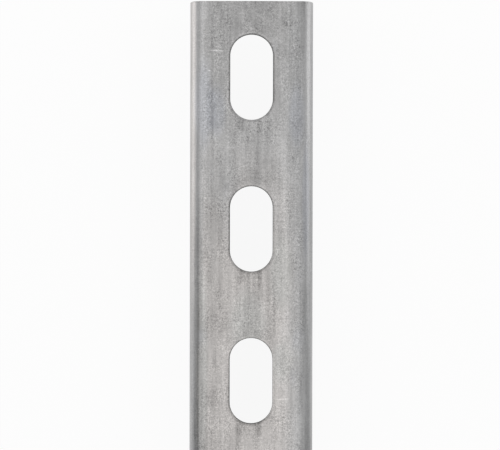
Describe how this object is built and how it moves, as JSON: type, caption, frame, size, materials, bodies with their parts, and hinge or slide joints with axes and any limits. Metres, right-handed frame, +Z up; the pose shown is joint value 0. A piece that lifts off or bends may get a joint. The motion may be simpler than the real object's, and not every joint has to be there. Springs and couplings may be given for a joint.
{
  "type": "slotted strut channel",
  "caption": "Straight length of cold-formed galvanised steel strut channel: a C section with in-turned lips and obround bolt slots along the middle of its web.",
  "frame": {"origin": "middle of the rail's footprint, on the plane that its two returns rest on", "axes": "+Y along the rail, +X across it, +Z up out of the slotted web"},
  "size_m": [0.0412, 0.3048, 0.0413],
  "materials": {
    "galvanised_steel": "galvanised strip, dull grey, with fine streaks along the rail"
  },
  "bodies": {
    "root": {"rail": "galvanised_steel"}
  },
  "joints": []
}
